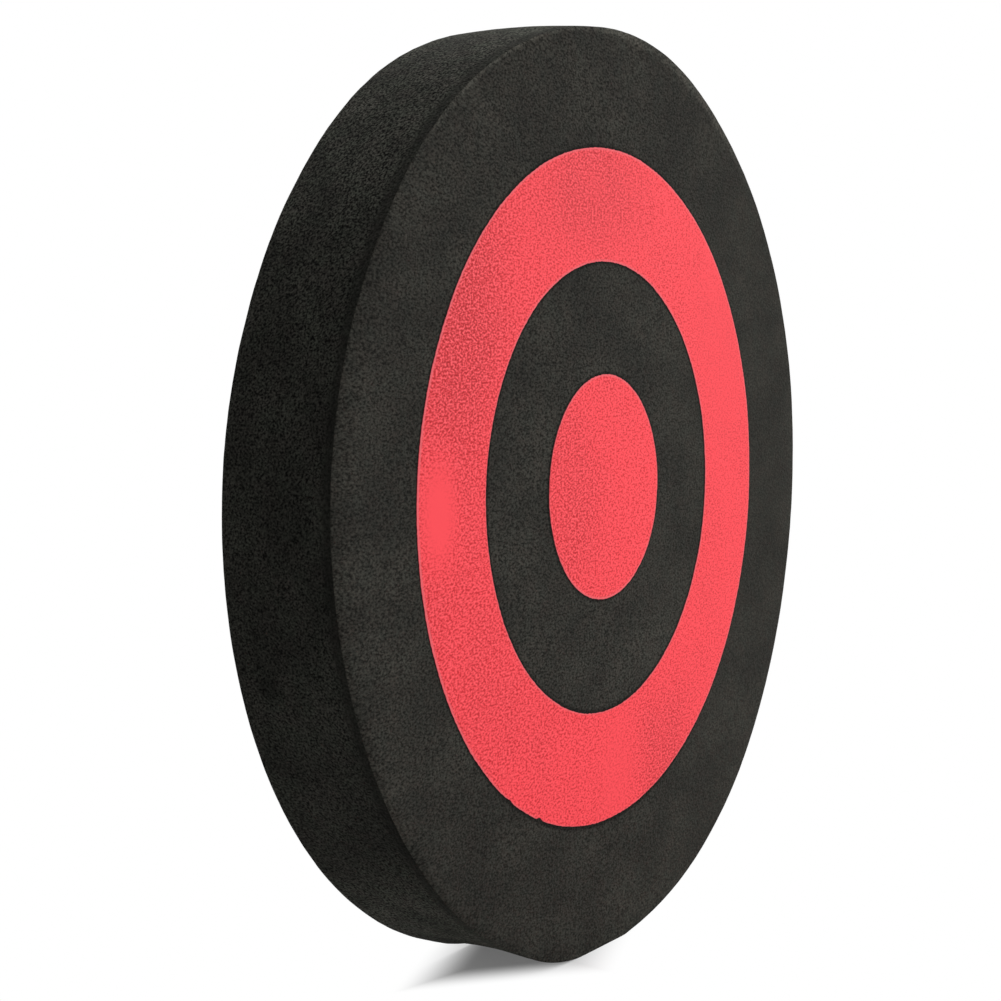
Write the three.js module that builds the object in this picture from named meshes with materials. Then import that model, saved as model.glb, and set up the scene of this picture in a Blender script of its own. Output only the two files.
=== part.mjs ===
// Round foam archery target boss, standing upright on its rim.
// Millimetres, +Z up, the shooting face looks along -Y.
// The origin is on the ground, midway between the front and the back of the disc.

import * as THREE from 'three';

// Size of the disc, and of the zones printed on it from the centre out
const bossDiameter = 410;
const bullseyeDiameter = 100;
const blackZoneWidth = 50;
const ringWidth = 50;

// Foam layers and the adhesive films between them, front to back
const frontSheetThickness = 6;
const coreSlabThickness = 20;
const rearSheetThickness = 6;
const bondThickness = 0.2;

// Layer of ink on the front face
const printThickness = 0.2;

// Rounding of the edge between the rim and either face
const lipRadius = 0.8;

// Fineness of the round surfaces
const facetsAround = 96;
const stepsAroundLip = 2;

// Foam and ink as photographed
const foamColour = 0x2e2d2a;
const rimFoamColour = 0x232321;
const adhesiveColour = 0x191917;
const inkColour = 0xf4525a;
const foamRoughness = 0.88;
const adhesiveRoughness = 0.5;
const inkRoughness = 0.62;

const stackThickness =
  frontSheetThickness + 2 * coreSlabThickness + rearSheetThickness + 3 * bondThickness;
const frontFaceY = printThickness - (stackThickness + printThickness) / 2;

// The disc rests on the flat of its lowest facet, so its axis is this high
const halfFacetAngle = Math.PI / facetsAround;
const axisHeight = (bossDiameter / 2) * Math.cos(halfFacetAngle);

const boss = new THREE.Group();

// Radius of the rim at a depth behind the front face: straight, with a round lip at either face
function rimRadius(depth) {
  const radius = bossDiameter / 2;
  const fromFace = Math.min(depth, stackThickness - depth);
  if (fromFace >= lipRadius) {
    return radius;
  }
  const intoLip = lipRadius - fromFace;
  return radius - lipRadius + Math.sqrt(lipRadius ** 2 - intoLip ** 2);
}

// Depths at which a layer's rim has a ring of vertices: its two ends, and steps round a lip
function rimDepths(front, back) {
  const depths = [front, back];
  for (let i = 1; i <= stepsAroundLip; i++) {
    const share = 1 - Math.cos((Math.PI / 2) * (i / stepsAroundLip));
    for (const depth of [lipRadius * share, stackThickness - lipRadius * share]) {
      if (depth > front && depth < back) {
        depths.push(depth);
      }
    }
  }
  return depths.sort((a, b) => a - b);
}

// Turns a profile of (radius, depth) points about the disc's axis.
// The lathe turns about +Y, so a depth behind the front face is already a length along Y.
function turned(name, profile, colour, roughness) {
  const points = profile.map(([radius, depth]) => new THREE.Vector2(radius, frontFaceY + depth));
  const geometry = new THREE.LatheGeometry(points, facetsAround);
  geometry.rotateY(halfFacetAngle);
  geometry.translate(0, 0, axisHeight);
  const material = new THREE.MeshStandardMaterial({ color: colour, roughness, metalness: 0 });
  const mesh = new THREE.Mesh(geometry, material);
  mesh.name = name;
  boss.add(mesh);
}

// One layer of the stack, cut to the shape of the rim. Returns the depth of its back face.
function addLayer(name, front, thickness, colour, roughness) {
  const back = front + thickness;
  const rim = rimDepths(front, back).map((depth) => [rimRadius(depth), depth]);
  turned(name, [[0, front], ...rim, [0, back]], colour, roughness);
  return back;
}

// A layer of ink on the front face. A ring's profile closes on itself, and a disc's ends on the axis.
function addPrint(name, innerRadius, outerRadius) {
  const profile = [
    [innerRadius, -printThickness],
    [outerRadius, -printThickness],
    [outerRadius, 0],
    [innerRadius, 0],
  ];
  if (innerRadius > 0) {
    profile.push(profile[0]);
  }
  turned(name, profile, inkColour, inkRoughness);
}

let depth = 0;
depth = addLayer('front_sheet', depth, frontSheetThickness, foamColour, foamRoughness);
depth = addLayer('front_bond', depth, bondThickness, adhesiveColour, adhesiveRoughness);
depth = addLayer('front_core_slab', depth, coreSlabThickness, rimFoamColour, foamRoughness);
depth = addLayer('core_bond', depth, bondThickness, adhesiveColour, adhesiveRoughness);
depth = addLayer('rear_core_slab', depth, coreSlabThickness, rimFoamColour, foamRoughness);
depth = addLayer('rear_bond', depth, bondThickness, adhesiveColour, adhesiveRoughness);
addLayer('rear_sheet', depth, rearSheetThickness, foamColour, foamRoughness);

const bullseyeRadius = bullseyeDiameter / 2;
const ringInnerRadius = bullseyeRadius + blackZoneWidth;
addPrint('bullseye_print', 0, bullseyeRadius);
addPrint('ring_print', ringInnerRadius, ringInnerRadius + ringWidth);

export default boss;
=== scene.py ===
import math

import bpy
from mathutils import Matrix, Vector, noise


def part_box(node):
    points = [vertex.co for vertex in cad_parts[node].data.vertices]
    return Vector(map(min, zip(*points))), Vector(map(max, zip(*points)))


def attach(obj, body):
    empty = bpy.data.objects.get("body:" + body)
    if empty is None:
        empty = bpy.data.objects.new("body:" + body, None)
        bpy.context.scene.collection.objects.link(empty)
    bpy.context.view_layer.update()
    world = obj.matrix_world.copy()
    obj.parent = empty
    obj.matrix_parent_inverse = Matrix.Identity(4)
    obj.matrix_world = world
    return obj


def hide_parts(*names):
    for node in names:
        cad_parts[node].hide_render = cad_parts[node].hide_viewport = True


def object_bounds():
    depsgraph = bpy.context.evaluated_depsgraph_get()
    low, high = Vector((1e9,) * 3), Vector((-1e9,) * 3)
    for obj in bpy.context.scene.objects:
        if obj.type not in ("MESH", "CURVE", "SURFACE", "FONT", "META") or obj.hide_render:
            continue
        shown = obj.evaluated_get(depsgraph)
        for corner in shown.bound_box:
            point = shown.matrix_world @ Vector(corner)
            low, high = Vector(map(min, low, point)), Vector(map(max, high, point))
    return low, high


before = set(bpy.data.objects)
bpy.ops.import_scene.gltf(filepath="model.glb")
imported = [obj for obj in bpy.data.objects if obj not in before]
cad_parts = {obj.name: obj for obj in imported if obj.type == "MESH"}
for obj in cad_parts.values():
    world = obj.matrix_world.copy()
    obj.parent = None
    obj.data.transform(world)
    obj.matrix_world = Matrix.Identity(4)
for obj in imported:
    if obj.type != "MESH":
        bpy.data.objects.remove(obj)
cad_low, cad_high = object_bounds()

# Size of the disc, in metres, as part.mjs has it
BOSS_RADIUS = 0.205
LIP_RADIUS = 0.0008
BULLSEYE_RADIUS = 0.050
RING_INNER_RADIUS = 0.100
RING_OUTER_RADIUS = 0.150

# Where the layers lie, front to back
FRONT_FACE_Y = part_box("front_sheet")[0].y
REAR_FACE_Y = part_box("rear_sheet")[1].y
STACK_THICKNESS = REAR_FACE_Y - FRONT_FACE_Y
INK_FRONT_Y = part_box("ring_print")[0].y
AXIS_HEIGHT = (cad_low.z + cad_high.z) / 2

# How the real rim differs from the ideal one: the knife left it full at the top and hollow at the
# foot. Between two radii this unevenness grows from nothing to all.
RIM_FULLNESS = 0.0012
FOOT_HOLLOW = 0.0015
RIM_BLEND_RADII = (BOSS_RADIUS - 0.012, BOSS_RADIUS - 0.003)

# Each face falls away a little near its edge, and the front is pressed in on the left
SHOULDER_WIDTH = 0.018
SHOULDER_DROP = 0.0003
SHOULDER_GAIN = 1.8
SHOULDER_DEPTH = 0.012
PRESSED_DROP = 0.0018
PRESSED_ANGLE = math.radians(170)
PRESSED_POWER = 7

# Where the front edge is worn round: the middle and the half width of the stretch in degrees round
# from the right, the drop at the edge, and how far in and how far back it reaches
WORN_ANGLE = 218
WORN_HALF_WIDTH = 50
WORN_DROP = 0.0009
WORN_WIDTH = 0.0038
WORN_DEPTH = 0.006

# Where the front and the rear edge were cut large or small: the middle and the half width of the
# stretch in degrees, and how far the edge lies out, in metres
FRONT_LUMPS = (
    (-59, 44, 0.0015),
    (-16, 34, -0.0014),
    (34, 46, 0.0014),
    (72, 25, 0.0017),
    (108, 33, -0.0018),
    (144, 30, -0.0003),
    (168, 24, 0.0004),
    (216, 40, -0.0023),
)
REAR_LUMPS = (
    (-146, 60, 0.0008),
    (103, 18, -0.0004),
    (124, 14, 0.0004),
    (172, 22, 0.0005),
)

# The corners at the foot, written the same way, and the share of the depth that they reach over
FRONT_CORNERS = ((-103, 9, 0.0012), (-94, 15, 0.0015))
REAR_CORNERS = ((-100, 10, 0.0012),)
CORNER_REACH = 0.35

# Bumps of the faces, of the rim and of the ink's edge: their size, their seed, their height, and
# how much of the way along the disc's axis counts
FACE_RELIEF = (
    (0.045, 3.1, 0.00018, 1),
    (0.014, 7.7, 0.00007, 1),
    (0.0045, 11.3, 0.00004, 1),
)
RIM_RELIEF = (
    (0.070, 21.9, 0.00025, 0.4),
    (0.012, 33.3, 0.00012, 1),
    (0.005, 41.7, 0.00008, 1),
)
INK_EDGE_RELIEF = (
    (0.0016, 71.3, 0.00022, 1),
    (0.012, 77.1, 0.00014, 1),
)

# How far from a face its bumps reach along the rim
SWELL_DEPTH = 0.004

# Where the print was set, from the disc's centre to the left and up
PRINT_X = -0.0007
PRINT_RISE = 0.0012

# Where the edges of the prints run wide or narrow, written as the lumps of the rim are. The ring's
# outer edge has two nicks as well. An edge takes the ink near it along, over a width.
RING_OUTER_LUMPS = (
    (180, 60, 0.0006),
    (-90, 60, -0.0006),
    (-123, 1.4, -0.0005),
    (-112.6, 1.4, -0.0010),
)
RING_INNER_LUMPS = ((180, 60, 0.0005), (-90, 60, 0.0004))
BULLSEYE_LUMPS = ((180, 60, -0.0006), (0, 60, -0.0003))
INK_EDGE_WIDTH = 0.004

# How deep the back of the ink lies in the foam
INK_SUNK = 0.0001

# Radii of a glued face's rings out to where the glue stops, and of the last one, from where the
# layers close on each other. The glue's edge is uneven by a margin, which changes over a length.
GLUE_RADII = (0, 0.07, 0.14, BOSS_RADIUS - 0.018, BOSS_RADIUS - 0.012, BOSS_RADIUS - 0.006)
SEAM_RADIUS = BOSS_RADIUS - 0.005
GLUE_MARGIN = 0.0006
GLUE_MARGIN_LENGTH = 0.02

# Fineness of the meshes: steps round the axis, and widths of the rings
LAYER_STEPS = 720
GLUE_STEPS = 360
RING_STEPS = 1200
BULLSEYE_STEPS = 480
FACE_RING_STEP = 0.0018
RIM_ROW_STEP = 0.0016
INK_RING_STEP = 0.0016
LIP_STEPS = 5

# Share of a lip that still has the face's skin, and the angle from which an edge is drawn sharp
SKIN_OF_LIP = 0.3
SHARP_ANGLE = math.radians(50)

# Photograph's camera, with its lens and its sensor in millimetres
CAMERA_PLACE = (-0.84473, -0.49096, 0.27965)
CAMERA_YAW = math.radians(58.391)
CAMERA_PITCH = math.radians(2.118)
CAMERA_LENS = 77.98
CAMERA_SENSOR = 36
CAMERA_SHIFT_Y = -0.0990
CAMERA_NEAR = 0.01
CAMERA_FAR = 100

# Studio: level of the even fill, and each softbox's place, aim, width, height and power
FILL_LEVEL = 0.35
KEY_SOFTBOX = ((2.3, -2.1, 1.5), (0, 0, 0.2), 2.2, 2.2, 84)
TOP_SOFTBOX = ((0.1, 0.22, 2.0), (0, 0.1, 0), 1.8, 1.6, 22)
FLOOR_SIZE = 12
FLOOR_COLOUR = (0.80, 0.80, 0.80, 1)
WHITE = (1, 1, 1, 1)

# The lozenge of floor that shows a shadow: its middle, turn and half widths, the share of the way
# out where it starts to fade, and how much white lies over it before that
SHADOW_CENTRE = (-0.0248, 0.0003, 0)
SHADOW_TURN = math.radians(-10.5)
SHADOW_HALF_WIDTHS = (0.0869, 0.0515, 1)
SHADOW_CORE = 0.408
SHADOW_VEIL = 0.13

# How an oval spot fades, by the way from its middle as a share of its half widths, and how softly
# the foam's cells meet
SPOT_FADE = (0.3, 1.4, 1, 0)
CELL_SMOOTHNESS = 0.4


# Shader nodes

def new_tree(owner):
    """The empty node tree of a material or a world."""
    owner.use_nodes = True
    tree = owner.node_tree
    tree.nodes.clear()
    return tree


def add_node(tree, kind, inputs=None, **settings):
    """Adds a node, sets its properties, and fills its inputs with values or links."""
    node = tree.nodes.new(kind)
    for name, value in settings.items():
        setattr(node, name, value)
    for name, value in (inputs or {}).items():
        if isinstance(value, bpy.types.NodeSocket):
            tree.links.new(value, node.inputs[name])
        else:
            node.inputs[name].default_value = value
    return node


def math_of(tree, operation, *values):
    node = add_node(tree, "ShaderNodeMath", dict(enumerate(values)), operation=operation)
    return node.outputs[0]


def vector_math(tree, operation, *vectors, output="Vector"):
    node = add_node(tree, "ShaderNodeVectorMath", dict(enumerate(vectors)), operation=operation)
    return node.outputs[output]


def combined(tree, operation, first, *others):
    """All the values put together in turn by one operation."""
    for other in others:
        first = math_of(tree, operation, first, other)
    return first


def ranged(tree, value, low, high, to_low, to_high, smooth=False):
    """What a value becomes: to_low at low, to_high at high, and a share of both between them."""
    node = add_node(tree, "ShaderNodeMapRange", {
        "Value": value,
        "From Min": low,
        "From Max": high,
        "To Min": to_low,
        "To Max": to_high,
    }, interpolation_type="SMOOTHSTEP" if smooth else "LINEAR")
    return node.outputs["Result"]


def reversed_share(tree, share):
    """1 where a share is 0, and 0 where it is 1."""
    return ranged(tree, share, 0, 1, 1, 0)


def place_of(tree):
    return add_node(tree, "ShaderNodeTexCoord").outputs["Object"]


def axis_of(tree, place, axis):
    return add_node(tree, "ShaderNodeSeparateXYZ", {"Vector": place}).outputs[axis]


def squeezed(tree, place, factors):
    """Coordinates multiplied along x, y and z, which shortens a pattern where one is over 1."""
    node = add_node(tree, "ShaderNodeMapping", {"Vector": place, "Scale": factors})
    return node.outputs["Vector"]


def scaled_distance(tree, place, middle, factors):
    """Distance from a point, with each axis multiplied by its factor."""
    offset = vector_math(tree, "SUBTRACT", place, middle)
    scaled = vector_math(tree, "MULTIPLY", offset, factors)
    return vector_math(tree, "LENGTH", scaled, output="Value")


def radius_of(tree, place, x, z):
    """Distance from a line that runs along the disc's axis."""
    return scaled_distance(tree, place, (x, 0, z), (1, 0, 1))


def spot_of(tree, place, x, z, half_width, half_height):
    """1 in the middle of an oval spot on the face, 0 outside it. x and z are from the centre."""
    middle = (x, FRONT_FACE_Y, AXIS_HEIGHT + z)
    distance = scaled_distance(tree, place, middle, (1 / half_width, 0, 1 / half_height))
    return ranged(tree, distance, *SPOT_FADE, smooth=True)


def noise_of(tree, place, size, detail, roughness):
    """A noise from 0 to 1 whose features are about size metres wide."""
    node = add_node(tree, "ShaderNodeTexNoise", {
        "Vector": place,
        "Scale": 1 / size,
        "Detail": detail,
        "Roughness": roughness,
    })
    return node.outputs["Fac"]


def cells_of(tree, place, size):
    """Foam cells about size metres wide: 0 at a cell's centre, rising to its walls."""
    node = add_node(tree, "ShaderNodeTexVoronoi", {
        "Vector": place,
        "Scale": 1 / size,
        "Smoothness": CELL_SMOOTHNESS,
    }, feature="SMOOTH_F1")
    return node.outputs["Distance"]


def mixed_colour(tree, share, first, second):
    node = add_node(tree, "ShaderNodeMix", {0: share, 6: first, 7: second}, data_type="RGBA")
    return node.outputs[2]


def mixed_shader(tree, share, first, second):
    node = add_node(tree, "ShaderNodeMixShader", {0: share, 1: first, 2: second})
    return node.outputs[0]


def linear(red, green, blue):
    """A colour written as 0 to 255 in sRGB, as a linear colour with alpha."""
    def channel(value):
        value /= 255
        return value / 12.92 if value <= 0.04045 else ((value + 0.055) / 1.055) ** 2.4
    return (channel(red), channel(green), channel(blue), 1)


def shifted(colour, levels):
    """Such a colour with some levels added to each channel, as a linear colour with alpha."""
    return linear(*(min(max(channel + levels, 0), 255) for channel in colour))


def finish_surface(material, tree, colour, roughness, height, bump_depth, specular):
    bump = add_node(tree, "ShaderNodeBump", {
        "Strength": 1.0,
        "Distance": bump_depth,
        "Height": height,
    })
    surface = add_node(tree, "ShaderNodeBsdfPrincipled", {
        "Base Color": colour,
        "Roughness": roughness,
        "Specular IOR Level": specular,
        "Normal": bump.outputs["Normal"],
    })
    add_node(tree, "ShaderNodeOutputMaterial", {"Surface": surface.outputs[0]})
    return material


# Camera, floor, backdrop and light

def add_camera():
    camera = bpy.data.objects.new("camera", bpy.data.cameras.new("camera"))
    bpy.context.scene.collection.objects.link(camera)
    forward = Vector((
        math.sin(CAMERA_YAW) * math.cos(CAMERA_PITCH),
        math.cos(CAMERA_YAW) * math.cos(CAMERA_PITCH),
        -math.sin(CAMERA_PITCH),
    ))
    camera.location = CAMERA_PLACE
    camera.rotation_mode = "QUATERNION"
    camera.rotation_quaternion = forward.to_track_quat("-Z", "Y")
    camera.data.sensor_width = CAMERA_SENSOR
    camera.data.lens = CAMERA_LENS
    camera.data.shift_y = CAMERA_SHIFT_Y
    camera.data.clip_start = CAMERA_NEAR
    camera.data.clip_end = CAMERA_FAR
    bpy.context.scene.camera = camera


def add_softbox(name, place, target, width, height, power):
    light = bpy.data.lights.new(name, "AREA")
    light.shape = "RECTANGLE"
    light.size = width
    light.size_y = height
    light.energy = power
    lamp = bpy.data.objects.new(name, light)
    lamp.location = place
    lamp.rotation_mode = "QUATERNION"
    lamp.rotation_quaternion = (Vector(target) - Vector(place)).to_track_quat("-Z", "Y")
    bpy.context.scene.collection.objects.link(lamp)


def add_world():
    """White to the camera, to reflections and through glass, and a dim even fill for the rest."""
    world = bpy.data.worlds.new("studio")
    bpy.context.scene.world = world
    tree = new_tree(world)
    rays = add_node(tree, "ShaderNodeLightPath").outputs
    seen = combined(
        tree, "MAXIMUM",
        rays["Is Camera Ray"],
        rays["Is Glossy Ray"],
        rays["Is Transmission Ray"],
    )
    fill = add_node(tree, "ShaderNodeBackground", {"Color": WHITE, "Strength": FILL_LEVEL})
    white = add_node(tree, "ShaderNodeBackground", {"Color": WHITE, "Strength": 1})
    mixed = mixed_shader(tree, seen, fill.outputs[0], white.outputs[0])
    add_node(tree, "ShaderNodeOutputWorld", {"Surface": mixed})


def floor_material():
    """Pale where the shadow falls. Further out the camera sees the backdrop's white."""
    material = bpy.data.materials.new("floor")
    tree = new_tree(material)
    scaled = add_node(tree, "ShaderNodeMapping", {
        "Vector": place_of(tree),
        "Location": SHADOW_CENTRE,
        "Rotation": (0, 0, SHADOW_TURN),
        "Scale": SHADOW_HALF_WIDTHS,
    }, vector_type="TEXTURE")
    unsigned = vector_math(tree, "ABSOLUTE", scaled.outputs["Vector"])
    distance = vector_math(tree, "DOT_PRODUCT", unsigned, (1, 1, 0), output="Value")
    fade = ranged(tree, distance, SHADOW_CORE, 1, SHADOW_VEIL, 1, smooth=True)
    rays = add_node(tree, "ShaderNodeLightPath").outputs
    whiteness = math_of(tree, "MULTIPLY", fade, rays["Is Camera Ray"])
    plain = add_node(tree, "ShaderNodeBsdfDiffuse", {"Color": FLOOR_COLOUR})
    white = add_node(tree, "ShaderNodeEmission", {"Color": WHITE, "Strength": 1})
    mixed = mixed_shader(tree, whiteness, plain.outputs[0], white.outputs[0])
    add_node(tree, "ShaderNodeOutputMaterial", {"Surface": mixed})
    return material


def add_floor():
    half = FLOOR_SIZE / 2
    corners = [(-half, -half, 0), (half, -half, 0), (half, half, 0), (-half, half, 0)]
    mesh = bpy.data.meshes.new("floor")
    mesh.from_pydata(corners, [], [(0, 1, 2, 3)])
    mesh.materials.append(floor_material())
    floor = bpy.data.objects.new("floor", mesh)
    bpy.context.scene.collection.objects.link(floor)


add_camera()
add_world()
add_floor()
add_softbox("key", *KEY_SOFTBOX)
add_softbox("top", *TOP_SOFTBOX)


# Materials

# A group of four numbers below is for ranged: two values of a noise, of a share or of a length in
# metres, and what it becomes at each. The face's grain runs a little wider than it is high.
GRAIN_DRAWN = (0.58, 1, 1)
GRAIN_SIZE = 0.00088
GRAIN_IN_HEIGHT = 0.7
CELL_SIZE = 0.0011

# Two greys that each foam changes between, over about a centimetre
FACE_GREYS = ((47, 45, 41), (45, 45, 41))
RIM_GREYS = ((37, 36, 33), (36, 37, 33))
GREY_SIZE = 0.009
GREY_SHARE = (0.35, 0.65, 0, 1)


def foam_hue(tree, place, greys):
    tint = noise_of(tree, place, GREY_SIZE, detail=2.0, roughness=0.6)
    return mixed_colour(tree, ranged(tree, tint, *GREY_SHARE), *(linear(*grey) for grey in greys))


def pebbled_height(tree, grain, cells):
    """Height of the skin, with the fine grain on top of the foam's cells."""
    return math_of(tree, "ADD", math_of(tree, "MULTIPLY", grain, GRAIN_IN_HEIGHT), cells)


def from_print_edge(tree, place):
    """Distance to the nearest edge of a print."""
    radius = radius_of(tree, place, PRINT_X, AXIS_HEIGHT + PRINT_RISE)
    distances = [
        math_of(tree, "ABSOLUTE", math_of(tree, "SUBTRACT", radius, edge))
        for edge in (BULLSEYE_RADIUS, RING_INNER_RADIUS, RING_OUTER_RADIUS)
    ]
    return combined(tree, "MINIMUM", *distances)


# Skin of the facing sheets. Its contrast changes across and up the disc, and painted light makes
# its tone lighter to the right and darker towards the top.
FACE_SPECKLE = (0.32, 0.68, -1, 1)
FACE_CONTRAST_ACROSS = (0.0, 0.2, 0.66, 0.27)
FACE_CONTRAST_UP = (0.02, 0.12, 0.82, 1)
FACE_PATCHES = (0.36, 0.64, 0.81, 1.19)
FACE_MOTTLING = (0.3, 0.7, 0.90, 1.10)
# Painted light: the skin lighter to the right and darker towards the top
FACE_PAINTED_LIGHT_ACROSS = (-0.2, 0.1, 0.955, 1.03)
FACE_PAINTED_LIGHT_UP = (0.08, 0.36, 1.04, 0.95)
FACE_ROUGHNESS = (0.3, 0.7, 0.84, 0.96)

# Painted highlight: the skin's edge is lighter at the top, where the lip catches the light from
# above
FACE_EDGE_HIGHLIGHT_OUT = (BOSS_RADIUS - 0.0040, BOSS_RADIUS - 0.0020, 0, 0.8)
FACE_EDGE_HIGHLIGHT_UP = (0.325, 0.385, 0, 1)

# A paler stretch between the ring and the centre: x and z from the disc's centre, half width and
# half height
PALE_FOAM = (0.020, -0.072, 0.060, 0.050)
PALE_TONE = (0, 1, 1, 1.16)

# Painted shade in the foam along the edge of a print, by the distance from that edge, and where
# along the disc's axis the front's foam ends
PRINT_EDGE_SHADE = (0.0006, 0.0019, 0.45, 1)
BEHIND_FRONT = (-0.02, -0.01, 0, 1)


def shade_beside_print(tree, place):
    """Painted shade: under 1 where the front's foam meets the edge of a print, 1 elsewhere."""
    return combined(
        tree, "MAXIMUM",
        ranged(tree, from_print_edge(tree, place), *PRINT_EDGE_SHADE, smooth=True),
        ranged(tree, axis_of(tree, place, "Y"), *BEHIND_FRONT),
    )


def face_tone(tree, place, grain, patches):
    """How light the skin is at a place, around 1."""
    across = axis_of(tree, place, "X")
    up = axis_of(tree, place, "Z")
    mottling = noise_of(tree, place, size=0.11, detail=2.0, roughness=0.5)
    speckle = combined(
        tree, "MULTIPLY",
        ranged(tree, across, *FACE_CONTRAST_ACROSS),
        ranged(tree, up, *FACE_CONTRAST_UP),
        ranged(tree, grain, *FACE_SPECKLE),
    )
    # painted highlight along the skin's edge at the top
    edge_highlight = math_of(
        tree, "MULTIPLY",
        ranged(tree, radius_of(tree, place, 0, AXIS_HEIGHT), *FACE_EDGE_HIGHLIGHT_OUT, smooth=True),
        ranged(tree, up, *FACE_EDGE_HIGHLIGHT_UP, smooth=True),
    )
    return combined(
        tree, "MULTIPLY",
        math_of(tree, "ADD", speckle, 1.0),
        math_of(tree, "ADD", edge_highlight, 1.0),
        ranged(tree, patches, *FACE_PATCHES),
        ranged(tree, mottling, *FACE_MOTTLING),
        # painted light: lighter to the right, darker towards the top
        ranged(tree, up, *FACE_PAINTED_LIGHT_UP),
        ranged(tree, across, *FACE_PAINTED_LIGHT_ACROSS),
        ranged(tree, spot_of(tree, place, *PALE_FOAM), *PALE_TONE),
        # painted shade beside the edge of a print
        shade_beside_print(tree, place),
    )


def face_foam():
    """Skin of the facing sheets: a fine pebbled grain under soft broad mottling."""
    material = bpy.data.materials.new("face_foam")
    tree = new_tree(material)
    place = place_of(tree)
    drawn = squeezed(tree, place, GRAIN_DRAWN)
    grain = noise_of(tree, drawn, GRAIN_SIZE, detail=1.0, roughness=0.6)
    cells = cells_of(tree, drawn, CELL_SIZE)
    wide = squeezed(tree, place, (0.6, 1, 1))
    patches = noise_of(tree, wide, size=0.024, detail=1.5, roughness=0.45)
    tone = face_tone(tree, place, grain, patches)
    colour = vector_math(tree, "MULTIPLY", foam_hue(tree, place, FACE_GREYS), tone)
    roughness = ranged(tree, patches, *FACE_ROUGHNESS)
    height = pebbled_height(tree, grain, cells)
    return finish_surface(
        material, tree, colour, roughness, height, bump_depth=0.0003, specular=0.05
    )


# Cut foam of the rim, with its own grain, which is weaker just behind the front lip, where painted
# shade also makes it darker
RIM_GRAIN_DRAWN = (0.6, 1, 1.1)
RIM_GRAIN_SIZE = 0.00095
RIM_CELL_SIZE = 0.0013
RIM_SPECKLE = (0.31, 0.69, -0.72, 0.72)
RIM_CONTRAST_UP = (0.20, 0.38, 1.25, 1.95)
RIM_BEHIND_LIP = (0.0035, 0.0075, 0, 1)
RIM_LIP_CONTRAST = (0, 1, 0.55, 1)
# Painted shade just behind the front lip
RIM_LIP_SHADE = (0, 1, 0.66, 1)
RIM_PATCHES = (0.36, 0.64, 0.76, 1.24)
RIM_ROUGHNESS = (0.3, 0.7, 0.86, 0.97)

# Tone of the rim's deepest pores
DARKEST_GRAIN = 0.06

# Painted light on the rim: light from the floor low down, light from above towards the top, and a
# painted highlight most at the very top
RIM_FLOOR_LIGHT_UP = (0.068, 0.010, 1, 3.3)
RIM_TOP_LIGHT_UP = (0.280, 0.365, 1, 1.42)
RIM_CREST_HIGHLIGHT_UP = (0.370, 0.402, 1, 1.4)

# A dark smudge low on the left of the rim: its middle, and its tone away from there
SMUDGE_PLACE = (-0.1945, 0.0120, 0.1402)
SMUDGE_TONE = (0.002, 0.008, 0.60, 1)


def rim_tone(tree, place, grain, patches):
    """How light the cut rim is at a place, around 1."""
    up = axis_of(tree, place, "Z")
    depth = math_of(tree, "SUBTRACT", axis_of(tree, place, "Y"), FRONT_FACE_Y)
    behind_lip = ranged(tree, depth, *RIM_BEHIND_LIP, smooth=True)
    speckle = combined(
        tree, "MULTIPLY",
        ranged(tree, grain, *RIM_SPECKLE),
        ranged(tree, behind_lip, *RIM_LIP_CONTRAST),
        ranged(tree, up, *RIM_CONTRAST_UP),
    )
    from_smudge = vector_math(tree, "DISTANCE", place, SMUDGE_PLACE, output="Value")
    return combined(
        tree, "MULTIPLY",
        math_of(tree, "MAXIMUM", math_of(tree, "ADD", speckle, 1.0), DARKEST_GRAIN),
        ranged(tree, from_smudge, *SMUDGE_TONE, smooth=True),
        ranged(tree, patches, *RIM_PATCHES),
        # painted shade just behind the front lip
        ranged(tree, behind_lip, *RIM_LIP_SHADE),
        # painted light from the floor at the foot
        ranged(tree, up, *RIM_FLOOR_LIGHT_UP, smooth=True),
        # painted light from above towards the top, and a painted highlight at the very top
        ranged(tree, up, *RIM_TOP_LIGHT_UP, smooth=True),
        ranged(tree, up, *RIM_CREST_HIGHLIGHT_UP, smooth=True),
    )


def rim_foam():
    """Knife-cut foam with painted shade just behind the front lip, painted light from above
    towards the top and painted light from the floor at the foot.
    """
    material = bpy.data.materials.new("rim_foam")
    tree = new_tree(material)
    place = place_of(tree)
    drawn = squeezed(tree, place, RIM_GRAIN_DRAWN)
    grain = noise_of(tree, drawn, RIM_GRAIN_SIZE, detail=1.0, roughness=0.6)
    cells = cells_of(tree, place, RIM_CELL_SIZE)
    high = squeezed(tree, place, (1, 1, 0.7))
    patches = noise_of(tree, high, size=0.024, detail=3.0, roughness=0.55)
    tone = rim_tone(tree, place, grain, patches)
    colour = vector_math(tree, "MULTIPLY", foam_hue(tree, place, RIM_GREYS), tone)
    roughness = ranged(tree, patches, *RIM_ROUGHNESS)
    height = math_of(tree, "ADD", grain, cells)
    return finish_surface(
        material, tree, colour, roughness, height, bump_depth=0.00035, specular=0.04
    )


# Ink where it lies thick and where it lies thin, and how many levels its grain swings from each.
# A pit lies some levels under the thick ink, and the ink is pale at the edge of a print.
THICK_INK = (253, 74, 83)
THIN_INK = (214, 59, 67)
THICK_SWINGS = (-34, 9)
THIN_SWINGS = (-54, 38)
PIT_SWING = -60
EDGE_INK = (231, 102, 109)
INK_ROUGHNESS = 0.65

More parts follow.
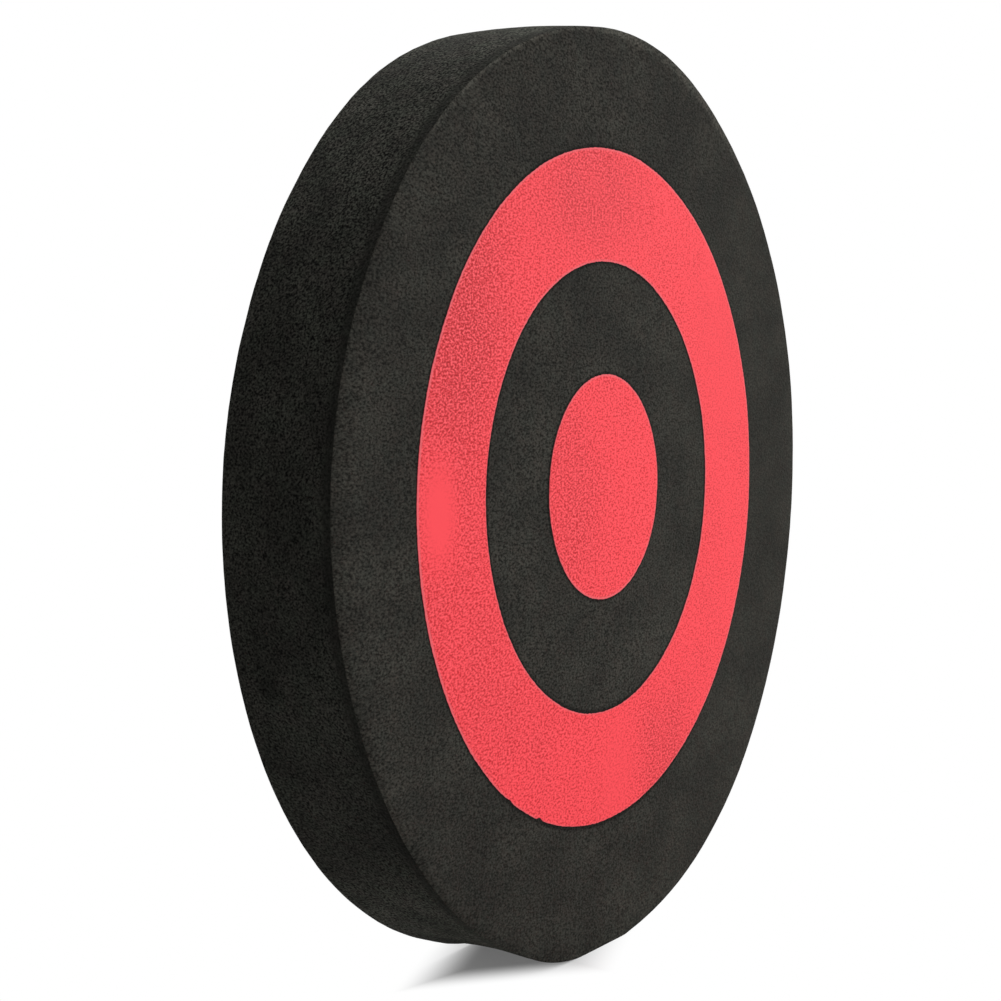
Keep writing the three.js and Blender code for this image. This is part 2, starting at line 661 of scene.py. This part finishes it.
# How thin the ink lies and how strong its grain is, across the disc and as a noise varies them,
# and how pale the ink is away from its edge
THINNESS_ACROSS = (-0.14, 0.05, 0.46, 0.22)
THINNESS_PATCHES = (0.35, 0.65, -0.07, 0.07)
INK_SPECKLE = (0.34, 0.66, -1, 1)
INK_CONTRAST_ACROSS = (0.03, 0.12, 0.90, 0.66)
PALE_EDGE = (0.0002, 0.0014, 0.8, 0)

# Pits in the ink: their size, which cells have one, and how one fades from its middle
PIT_SIZE = 0.0019
PIT_CHOICE = (0.82, 0.86, 0, 0.9)
PIT_FADE = (0.10, 0.27, 1, 0)

# Places on the ring and the centre where the ink lies smooth, bright or thin: x and z from the
# disc's centre, half width and half height in metres, and how much
SMOOTH_SPOTS = (
    (-0.1358, -0.001, 0.012, 0.020, 1.0),
    (0.010, -0.128, 0.018, 0.032, 0.45),
    (0.118, 0.075, 0.036, 0.076, 0.40),
    (0.000, 0.125, 0.060, 0.034, 0.24),
)
BRIGHT_SPOTS = (
    (-0.1352, -0.001, 0.016, 0.027, 0.95),
    (0.010, -0.126, 0.026, 0.036, 0.65),
    (-0.072, -0.122, 0.026, 0.016, 0.5),
    (-0.026, -0.125, 0.036, 0.032, 0.5),
    (0.030, 0.000, 0.034, 0.056, 0.5),
)
THIN_SPOTS = (
    (-0.120, 0.081, 0.036, 0.072, 0.50),
    (-0.008, 0.136, 0.050, 0.030, 0.40),
    (0.056, -0.126, 0.032, 0.030, 0.36),
    (-0.036, -0.004, 0.028, 0.044, 0.22),
)


def spots_of(tree, place, spots):
    """The strongest of several oval spots at each place."""
    shown = [math_of(tree, "MULTIPLY", spot_of(tree, place, *oval), much) for *oval, much in spots]
    return combined(tree, "MAXIMUM", *shown)


def pits_of(tree, place):
    """1 in the middle of some of the foam's cells, where the ink left a hole, and 0 elsewhere."""
    cell = add_node(tree, "ShaderNodeTexVoronoi", {"Vector": place, "Scale": 1 / PIT_SIZE}).outputs
    chosen = ranged(tree, axis_of(tree, cell["Color"], "X"), *PIT_CHOICE)
    hole = ranged(tree, cell["Distance"], *PIT_FADE, smooth=True)
    return math_of(tree, "MULTIPLY", hole, chosen)


def ink_thinness(tree, place, across):
    """How thin the ink lies: 0 is thick and 1 is thin."""
    patches = noise_of(tree, place, size=0.020, detail=2.0, roughness=0.5)
    thinness = combined(
        tree, "ADD",
        ranged(tree, across, *THINNESS_ACROSS),
        ranged(tree, patches, *THINNESS_PATCHES),
        spots_of(tree, place, THIN_SPOTS),
    )
    brightness = spots_of(tree, place, BRIGHT_SPOTS)
    return math_of(tree, "MULTIPLY", thinness, reversed_share(tree, brightness))


def ink_colour(tree, thinness, speckle, pits):
    """Colour of the ink, dark where the speckle is under 0, light where it is over 0."""
    wash = mixed_colour(tree, thinness, linear(*THICK_INK), linear(*THIN_INK))
    dark, light = (
        mixed_colour(tree, thinness, shifted(THICK_INK, on_thick), shifted(THIN_INK, on_thin))
        for on_thick, on_thin in zip(THICK_SWINGS, THIN_SWINGS)
    )
    colour = mixed_colour(tree, ranged(tree, speckle, 0, -1, 0, 1), wash, dark)
    colour = mixed_colour(tree, ranged(tree, speckle, 0, 1, 0, 1), colour, light)
    return mixed_colour(tree, pits, colour, shifted(THICK_INK, PIT_SWING))


def red_ink():
    """Matte ink that follows the grain: even where it is thick, duller and speckled where thin."""
    material = bpy.data.materials.new("red_ink")
    tree = new_tree(material)
    place = place_of(tree)
    across = axis_of(tree, place, "X")
    drawn = squeezed(tree, place, GRAIN_DRAWN)
    grain = noise_of(tree, drawn, GRAIN_SIZE, detail=1.0, roughness=0.4)
    cells = cells_of(tree, drawn, CELL_SIZE)
    contrast = math_of(
        tree, "MULTIPLY",
        ranged(tree, across, *INK_CONTRAST_ACROSS),
        reversed_share(tree, spots_of(tree, place, SMOOTH_SPOTS)),
    )
    speckle = math_of(tree, "MULTIPLY", ranged(tree, grain, *INK_SPECKLE), contrast)
    pits = math_of(tree, "MULTIPLY", pits_of(tree, drawn), contrast)
    colour = ink_colour(tree, ink_thinness(tree, place, across), speckle, pits)
    feathered = ranged(tree, from_print_edge(tree, place), *PALE_EDGE, smooth=True)
    colour = mixed_colour(tree, feathered, colour, linear(*EDGE_INK))
    height = math_of(tree, "SUBTRACT", pebbled_height(tree, grain, cells), pits)
    return finish_surface(
        material, tree, colour, INK_ROUGHNESS, height, bump_depth=0.00002, specular=0.12
    )


# Glue: its colours and its roughness between its strokes and on them
GLUE_COLOURS = ((20, 20, 18), (34, 33, 30))
GLUE_ROUGHNESS = (0.3, 0.7, 0.4, 0.6)


def glue():
    """Dull rubber adhesive, brushed on."""
    material = bpy.data.materials.new("glue")
    tree = new_tree(material)
    drawn = squeezed(tree, place_of(tree), (1, 1, 4))
    strokes = noise_of(tree, drawn, size=0.004, detail=3.0, roughness=0.6)
    colour = mixed_colour(tree, strokes, *(linear(*shade) for shade in GLUE_COLOURS))
    roughness = ranged(tree, strokes, *GLUE_ROUGHNESS)
    return finish_surface(
        material, tree, colour, roughness, strokes, bump_depth=0.0001, specular=0.3
    )


FACE_FOAM = face_foam()
RIM_FOAM = rim_foam()
RED_INK = red_ink()
GLUE = glue()


# Shape of the foam

def soft_noise(x, y, z, size, seed):
    """Smooth noise from about -1 to 1 with bumps about size metres wide."""
    return noise.noise(Vector((x / size + seed, y / size, z / size)))


def relief(x, y, z, bumps):
    """How high several sizes of bumps together stand at a place, in metres."""
    return sum(
        height * soft_noise(x, y * along, z, size, seed)
        for size, seed, height, along in bumps
    )


def smooth_share(value, low, high):
    """0 below low, 1 above high, and a smooth rise between them."""
    share = min(max((value - low) / (high - low), 0), 1)
    return share * share * (3 - 2 * share)


def between_lips(depth):
    """0 at either lip and 1 halfway between them."""
    share = (depth - LIP_RADIUS) / (STACK_THICKNESS - 2 * LIP_RADIUS)
    share = min(max(share, 0), 1)
    return 4 * share * (1 - share)


def rim_radius(depth):
    """Radius at a depth behind the front face: straight between two round lips."""
    into_lip = max(LIP_RADIUS - min(depth, STACK_THICKNESS - depth), 0)
    return BOSS_RADIUS - LIP_RADIUS + math.sqrt(max(LIP_RADIUS ** 2 - into_lip ** 2, 0))


def shoulder_share(radius):
    """How much of its drop a face has at a radius: none inside, about all at the edge."""
    inner = BOSS_RADIUS - SHOULDER_WIDTH
    outer = BOSS_RADIUS + SHOULDER_WIDTH / 2
    return smooth_share(radius, inner, outer) ** 2 * SHOULDER_GAIN


def pressed_share(angle):
    """1 where the front's edge is pressed in, 0 some way round from there."""
    return max(math.cos(angle - PRESSED_ANGLE), 0) ** PRESSED_POWER


def lobe(angle, middle, half_width):
    """1 at middle, falling to 0 at half_width from it. These two are in degrees."""
    turn = abs((math.degrees(angle) - middle + 180) % 360 - 180)
    return smooth_share(half_width - turn, 0, half_width)


def lumps_at(angle, lumps):
    return sum(height * lobe(angle, middle, half_width) for middle, half_width, height in lumps)


def out_of_round(angle, depth):
    """How far the rim's cut lies outside the true circle, in metres."""
    share = depth / STACK_THICKNESS
    near_front = max(1 - share / CORNER_REACH, 0) ** 2
    near_rear = max(1 - (1 - share) / CORNER_REACH, 0) ** 2
    front_corner = near_front * lumps_at(angle, FRONT_CORNERS)
    rear_corner = near_rear * lumps_at(angle, REAR_CORNERS)
    front = (1 - share) * lumps_at(angle, FRONT_LUMPS)
    rear = share * lumps_at(angle, REAR_LUMPS)
    return front + rear + (front_corner + rear_corner)


def outward(x, y, z, radius, angle, depth):
    """How far a point lies out from its ideal place, in metres."""
    rise = math.sin(angle)
    swing = rise * between_lips(depth) * (RIM_FULLNESS if rise > 0 else FOOT_HOLLOW)
    uneven = relief(x, y, z, RIM_RELIEF) + swing + out_of_round(angle, depth)
    return smooth_share(radius, *RIM_BLEND_RADII) * uneven


def swell(x, y, z, depth):
    """How far a face's bumps move a point back, in metres: less than 0 at the front."""
    near_front = smooth_share(depth, SWELL_DEPTH, 0)
    near_rear = smooth_share(STACK_THICKNESS - depth, SWELL_DEPTH, 0)
    return relief(x, y, z, FACE_RELIEF) * (near_rear - near_front)


def drop(radius, angle, depth):
    """How far the shoulders, the press and the wear move a point back, in metres."""
    front_drop = SHOULDER_DROP + PRESSED_DROP * pressed_share(angle)
    moved = front_drop * smooth_share(depth, SHOULDER_DEPTH, 0)
    moved -= SHOULDER_DROP * smooth_share(STACK_THICKNESS - depth, SHOULDER_DEPTH, 0)
    moved *= shoulder_share(radius)
    worn = smooth_share(radius, BOSS_RADIUS - WORN_WIDTH, BOSS_RADIUS) ** 2
    worn *= smooth_share(depth, WORN_DEPTH, 0) * lobe(angle, WORN_ANGLE, WORN_HALF_WIDTH)
    return moved + WORN_DROP * worn


def place_in_foam(radius, angle, depth):
    """Where a point of the ideal disc lies in the real, uneven one."""
    x = radius * math.cos(angle)
    y = FRONT_FACE_Y + depth
    z = radius * math.sin(angle)
    grown = radius + outward(x, y, z, radius, angle, depth)
    height = AXIS_HEIGHT + grown * math.sin(angle)
    moved_y = y + swell(x, y, z, depth) + drop(radius, angle, depth)
    return (grown * math.cos(angle), moved_y, max(height, 0.0))


# Meshes turned about the disc's axis. A profile is a list of (radius, depth) points.

def face_between(inner, outer, step, after):
    """Face from one step to the next between two rings: a triangle where a ring is one point."""
    corners = [inner[step % len(inner)], inner[after % len(inner)]]
    corners += [outer[after % len(outer)], outer[step % len(outer)]]
    return list(dict.fromkeys(corners))


def turned_mesh(name, profile, bands, materials, steps, placed):
    """A solid whose profile runs from the axis over the front, the rim and the back to the axis,
    or closes on itself. bands has the number of each stretch's material, and placed says where
    a point lies."""
    vertices = []
    rings = []
    for radius, depth in profile:
        count = 1 if radius == 0 else steps
        rings.append(range(len(vertices), len(vertices) + count))
        for step in range(count):
            vertices.append(placed(radius, 2 * math.pi * step / steps, depth))
    faces = []
    face_materials = []
    for band, inner, outer in zip(bands, rings, rings[1:]):
        for step in range(steps):
            faces.append(face_between(inner, outer, step, (step + 1) % steps))
            face_materials.append(band)
    mesh = bpy.data.meshes.new(name)
    mesh.from_pydata(vertices, [], faces)
    for material in materials:
        mesh.materials.append(material)
    mesh.polygons.foreach_set("material_index", face_materials)
    mesh.shade_smooth()
    mesh.set_sharp_from_angle(angle=SHARP_ANGLE)
    mesh.update()
    piece = bpy.data.objects.new(name, mesh)
    bpy.context.scene.collection.objects.link(piece)
    return piece


def even_steps(start, end, step):
    count = max(1, round(abs(end - start) / step))
    return [start + (end - start) * i / count for i in range(count + 1)]


def end_profile(seam, glued_depth):
    """Rings of one end of a layer, from the axis out: an open face as far as its lip, or a glued
    face as far as the place where it closes on its neighbour."""
    if seam in (0, STACK_THICKNESS):
        radii = even_steps(0, BOSS_RADIUS - LIP_RADIUS, FACE_RING_STEP)
        return [(radius, seam) for radius in radii]
    return [(radius, glued_depth) for radius in GLUE_RADII + (SEAM_RADIUS,)]


def lip_depths():
    """Depths of the rings round a lip, from just behind the face to its root."""
    turns = [math.pi / 2 * i / LIP_STEPS for i in range(1, LIP_STEPS)]
    return [LIP_RADIUS * (1 - math.cos(turn)) for turn in turns]


def rim_profile(front, back):
    """Rings of the rim from one depth to another, finer round a lip."""
    front_lip = []
    rear_lip = []
    if front == 0:
        front_lip = lip_depths()
        front = LIP_RADIUS
    if back == STACK_THICKNESS:
        rear_lip = [STACK_THICKNESS - depth for depth in lip_depths()[::-1]]
        back = STACK_THICKNESS - LIP_RADIUS
    depths = front_lip + even_steps(front, back, RIM_ROW_STEP) + rear_lip
    return [(rim_radius(depth), depth) for depth in depths]


# Foam layers

def layer_bands(profile):
    """The material of each stretch of a layer: 0 on the skin and on glued faces, 1 on the rim."""
    bands = []
    for before, after in zip(profile, profile[1:]):
        middle = (before[1] + after[1]) / 2
        on_skin = min(middle, STACK_THICKNESS - middle) < SKIN_OF_LIP * LIP_RADIUS
        glued = max(before[0], after[0]) <= SEAM_RADIUS
        bands.append(0 if on_skin or glued else 1)
    return bands


def add_layer(node, front_seam, back_seam):
    """A foam layer that fills its CAD node and meets its neighbours at the rim."""
    low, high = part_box(node)
    front = end_profile(front_seam, low.y - FRONT_FACE_Y)
    back = end_profile(back_seam, high.y - FRONT_FACE_Y)
    profile = front + rim_profile(front_seam, back_seam) + back[::-1]
    bands = layer_bands(profile)
    materials = (FACE_FOAM, RIM_FOAM)
    piece = turned_mesh(node + "_foam", profile, bands, materials, LAYER_STEPS, place_in_foam)
    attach(piece, "root")
    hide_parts(node)


def seam_depth(bond):
    low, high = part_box(bond)
    return (low.y + high.y) / 2 - FRONT_FACE_Y


FRONT_SEAM = seam_depth("front_bond")
CORE_SEAM = seam_depth("core_bond")
REAR_SEAM = seam_depth("rear_bond")

add_layer("front_sheet", 0, FRONT_SEAM)
add_layer("front_core_slab", FRONT_SEAM, CORE_SEAM)
add_layer("rear_core_slab", CORE_SEAM, REAR_SEAM)
add_layer("rear_sheet", REAR_SEAM, STACK_THICKNESS)


# Glue between the layers

def add_glue(bond, seed):
    """A film that stops short of the rim by an uneven margin."""
    low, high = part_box(bond)
    front = low.y - FRONT_FACE_Y
    back = high.y - FRONT_FACE_Y

    def placed(radius, angle, depth):
        share = smooth_share(radius, *GLUE_RADII[-2:])
        x = radius * math.cos(angle)
        z = radius * math.sin(angle)
        margin = GLUE_MARGIN * soft_noise(x, 0, z, GLUE_MARGIN_LENGTH, seed)
        return place_in_foam(radius + share * margin, angle, depth)

    profile = [(radius, front) for radius in GLUE_RADII]
    profile += [(radius, back) for radius in GLUE_RADII[::-1]]
    bands = [0] * (len(profile) - 1)
    piece = turned_mesh(bond + "_film", profile, bands, (GLUE,), GLUE_STEPS, placed)
    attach(piece, "root")
    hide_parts(bond)


add_glue("front_bond", seed=51.3)
add_glue("core_bond", seed=57.9)
add_glue("rear_bond", seed=63.1)


# Ink on the front face

def add_ink(node, inner_radius, outer_radius, steps, inner_lumps, outer_lumps):
    """A print with ragged edges that lies on the front face. It is a disc if inner_radius is 0."""
    thickness = FRONT_FACE_Y - INK_FRONT_Y

    def placed(radius, angle, depth):
        near_outer = radius > (inner_radius + outer_radius) / 2
        edge = outer_radius if near_outer else inner_radius
        from_edge = abs(radius - edge)
        share = smooth_share(INK_EDGE_WIDTH - from_edge, 0, INK_EDGE_WIDTH) if edge else 0
        x = radius * math.cos(angle)
        z = radius * math.sin(angle)
        wide = lumps_at(angle, outer_lumps if near_outer else inner_lumps)
        moved = radius + share * (relief(x, 0, z, INK_EDGE_RELIEF) + wide)
        px, py, pz = place_in_foam(moved, angle, 0)
        return (px + PRINT_X, py + depth, pz + PRINT_RISE)

    radii = even_steps(inner_radius, outer_radius, INK_RING_STEP)
    profile = [(radius, -thickness) for radius in radii]
    profile += [(radius, INK_SUNK) for radius in radii[::-1]]
    if inner_radius > 0:
        profile.append(profile[0])
    bands = [0] * (len(profile) - 1)
    piece = turned_mesh(node + "_ink", profile, bands, (RED_INK,), steps, placed)
    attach(piece, "root")
    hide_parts(node)


add_ink(
    "ring_print", RING_INNER_RADIUS, RING_OUTER_RADIUS, RING_STEPS,
    RING_INNER_LUMPS, RING_OUTER_LUMPS,
)
add_ink("bullseye_print", 0.0, BULLSEYE_RADIUS, BULLSEYE_STEPS, (), BULLSEYE_LUMPS)


# View

bpy.context.scene.view_settings.view_transform = "Standard"
